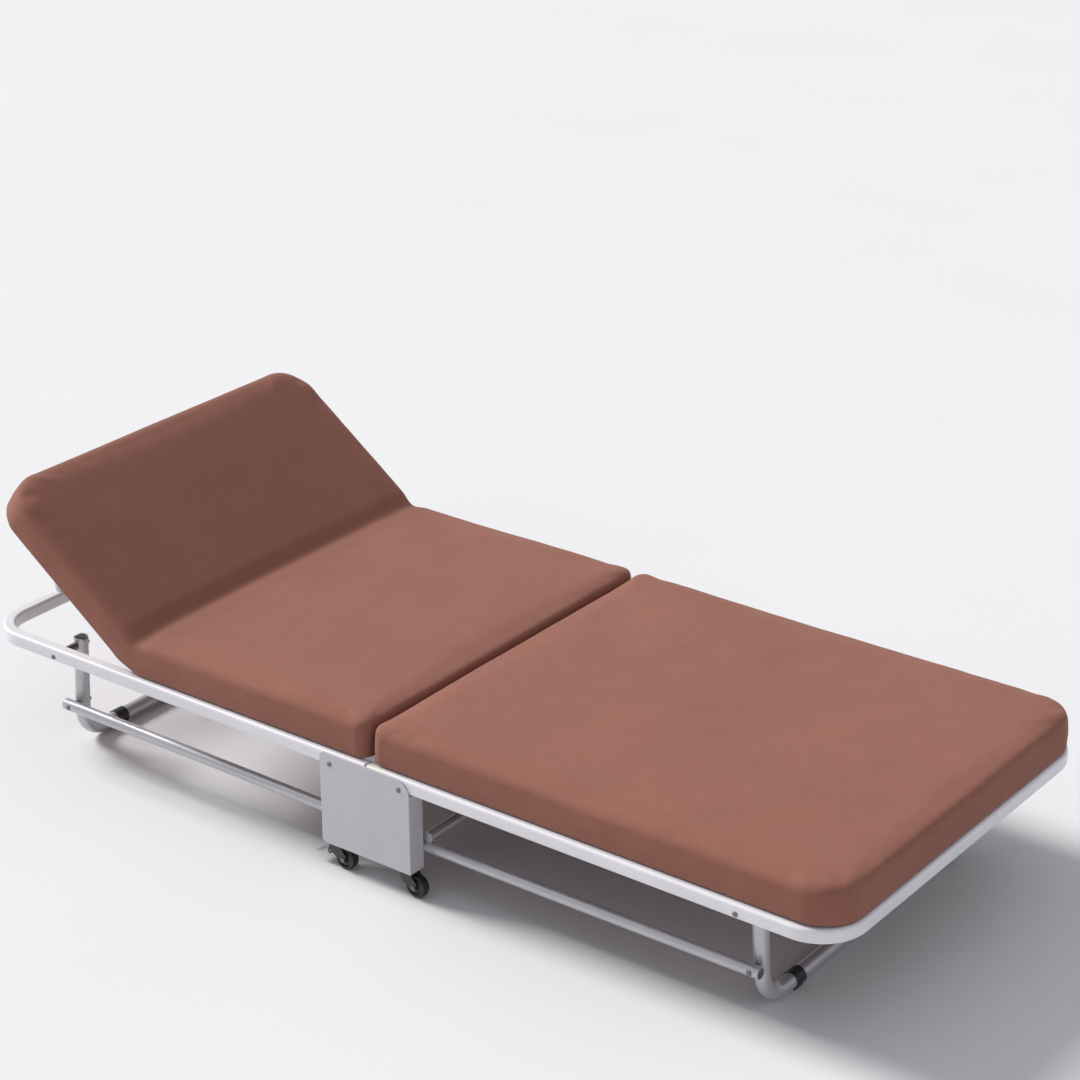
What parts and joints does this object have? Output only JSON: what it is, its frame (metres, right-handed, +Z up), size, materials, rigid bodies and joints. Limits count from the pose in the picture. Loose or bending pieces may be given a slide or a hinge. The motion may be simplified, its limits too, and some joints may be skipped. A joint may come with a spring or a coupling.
{
  "type": "folding cot",
  "caption": "Folding cot with castor brackets, coupled drop legs, tilting headrest, woven slings and a two-piece cushion",
  "frame": {"origin": "On the floor, midway along the overall length with the handle included, on the centre line", "axes": "+X from the head end to the foot end, +Y across the bed to its left seen from the foot, +Z up"},
  "size_m": [1.925, 0.831, 0.5139],
  "materials": {
    "frame_enamel": "satin silver-white powder coat on steel tube",
    "bracket_enamel": "satin light grey powder coat on sheet steel",
    "castor_zinc": "zinc-plated pressed steel",
    "castor_black": "black coat on pressed steel",
    "castor_rubber": "black moulded tyre and hub",
    "hinge_steel": "bright steel pins and rivets",
    "sling_mesh": "open brown-grey woven textilene",
    "cushion_fabric": "brown brushed fabric over foam",
    "webbing": "black woven strap",
    "white_plastic": "cream-white moulded plastic",
    "black_plastic": "black moulded plastic"
  },
  "bodies": {
    "base": {"bracket_near": "bracket_enamel", "bracket_far": "bracket_enamel", "frame_pins": "hinge_steel", "link_studs": "hinge_steel", "castor_mounts": "castor_zinc"},
    "head_frame": {"head_rail": "frame_enamel", "head_cross_bars": "frame_enamel", "head_sling": "sling_mesh", "head_cushion": "cushion_fabric", "head_leg_pins": "hinge_steel", "rest_lugs": "hinge_steel", "rest_pins": "hinge_steel", "handle": "frame_enamel", "strap": "webbing", "buckle": "black_plastic"},
    "headrest": {"rest_frame": "frame_enamel", "rest_sling": "sling_mesh"},
    "headrest_cushion": {"rest_cushion": "cushion_fabric"},
    "foot_frame": {"foot_rail": "frame_enamel", "rail_caps": "white_plastic", "foot_cross_bars": "frame_enamel", "foot_sling": "sling_mesh", "foot_cushion": "cushion_fabric", "foot_leg_pins": "hinge_steel"},
    "head_legs": {"head_leg": "frame_enamel", "head_pads": "black_plastic"},
    "foot_legs": {"foot_leg": "frame_enamel", "foot_pads": "black_plastic"},
    "head_links": {"head_link_near": "frame_enamel", "head_link_far": "frame_enamel", "head_link_bar": "frame_enamel", "head_link_pins": "hinge_steel"},
    "foot_links": {"foot_link_near": "frame_enamel", "foot_link_far": "frame_enamel", "foot_link_bar": "frame_enamel", "foot_link_pins": "hinge_steel"},
    "castor_hn": {"fork_hn": "castor_black", "axle_hn": "hinge_steel"},
    "castor_wheel_hn": {"wheel_hn": "castor_rubber"},
    "castor_hf": {"fork_hf": "castor_black", "axle_hf": "hinge_steel"},
    "castor_wheel_hf": {"wheel_hf": "castor_rubber"},
    "castor_fn": {"fork_fn": "castor_black", "axle_fn": "hinge_steel"},
    "castor_wheel_fn": {"wheel_fn": "castor_rubber"},
    "castor_ff": {"fork_ff": "castor_black", "axle_ff": "hinge_steel"},
    "castor_wheel_ff": {"wheel_ff": "castor_rubber"},
    "brake_pedal_near": {"pedal_near": "castor_zinc"},
    "brake_pedal_far": {"pedal_far": "castor_zinc"}
  },
  "joints": [
    {"name": "head_fold", "type": "hinge", "parent": "base", "child": "head_frame", "pos_m": [-0.06551, 0, 0.209], "axis": [0, 1, 0], "range_deg": [0, 90]},
    {"name": "foot_fold", "type": "hinge", "parent": "base", "child": "foot_frame", "pos_m": [0.09049, 0, 0.209], "axis": [0, -1, 0], "range_deg": [0, 90]},
    {"name": "head_leg_fold", "type": "hinge", "parent": "head_frame", "child": "head_legs", "pos_m": [-0.74951, 0, 0.2125], "axis": [0, 1, 0], "range_deg": [-90, 0]},
    {"name": "foot_leg_fold", "type": "hinge", "parent": "foot_frame", "child": "foot_legs", "pos_m": [0.77449, 0, 0.2125], "axis": [0, -1, 0], "range_deg": [-90, 0]},
    {"name": "head_link_fold", "type": "hinge", "parent": "base", "child": "head_links", "pos_m": [-0.07301, 0, 0.086], "axis": [0, 1, 0], "range_deg": [0, 90]},
    {"name": "foot_link_fold", "type": "hinge", "parent": "base", "child": "foot_links", "pos_m": [0.09799, 0, 0.086], "axis": [0, -1, 0], "range_deg": [0, 90]},
    {"name": "headrest_tilt", "type": "hinge", "parent": "head_frame", "child": "headrest", "pos_m": [-0.56551, 0, 0.224], "axis": [0, -1, 0], "range_deg": [0, 36.3]},
    {"name": "headrest_cushion_tilt", "type": "hinge", "parent": "head_frame", "child": "headrest_cushion", "pos_m": [-0.5379, 0, 0.30822], "axis": [0, -1, 0], "range_deg": [0, 36.3]},
    {"name": "swivel_hn", "type": "hinge", "parent": "base", "child": "castor_hn", "pos_m": [-0.06751, -0.39545, 0.0466], "axis": [0, 0, 1], "continuous": true},
    {"name": "roll_hn", "type": "hinge", "parent": "castor_hn", "child": "castor_wheel_hn", "pos_m": [-0.04751, -0.39545, 0.021], "axis": [0, 1, 0], "continuous": true},
    {"name": "swivel_hf", "type": "hinge", "parent": "base", "child": "castor_hf", "pos_m": [-0.06751, 0.39545, 0.0466], "axis": [0, 0, 1], "continuous": true},
    {"name": "roll_hf", "type": "hinge", "parent": "castor_hf", "child": "castor_wheel_hf", "pos_m": [-0.04751, 0.39545, 0.021], "axis": [0, 1, 0], "continuous": true},
    {"name": "swivel_fn", "type": "hinge", "parent": "base", "child": "castor_fn", "pos_m": [0.09249, -0.39545, 0.0466], "axis": [0, 0, 1], "continuous": true},
    {"name": "roll_fn", "type": "hinge", "parent": "castor_fn", "child": "castor_wheel_fn", "pos_m": [0.11249, -0.39545, 0.021], "axis": [0, 1, 0], "continuous": true},
    {"name": "swivel_ff", "type": "hinge", "parent": "base", "child": "castor_ff", "pos_m": [0.09249, 0.39545, 0.0466], "axis": [0, 0, 1], "continuous": true},
    {"name": "roll_ff", "type": "hinge", "parent": "castor_ff", "child": "castor_wheel_ff", "pos_m": [0.11249, 0.39545, 0.021], "axis": [0, 1, 0], "continuous": true},
    {"name": "brake_near", "type": "hinge", "parent": "castor_hn", "child": "brake_pedal_near", "pos_m": [-0.07751, -0.39545, 0.03], "axis": [0, -1, 0], "range_deg": [0, 9]},
    {"name": "brake_far", "type": "hinge", "parent": "castor_hf", "child": "brake_pedal_far", "pos_m": [-0.07751, 0.39545, 0.03], "axis": [0, -1, 0], "range_deg": [0, 9]}
  ],
  "couplings": [
    {"joint": "head_leg_fold", "follows": "head_fold", "ratio": -1},
    {"joint": "foot_leg_fold", "follows": "foot_fold", "ratio": -1},
    {"joint": "head_link_fold", "follows": "head_fold", "ratio": 1},
    {"joint": "foot_link_fold", "follows": "foot_fold", "ratio": 1},
    {"joint": "headrest_cushion_tilt", "follows": "headrest_tilt", "ratio": 1}
  ]
}
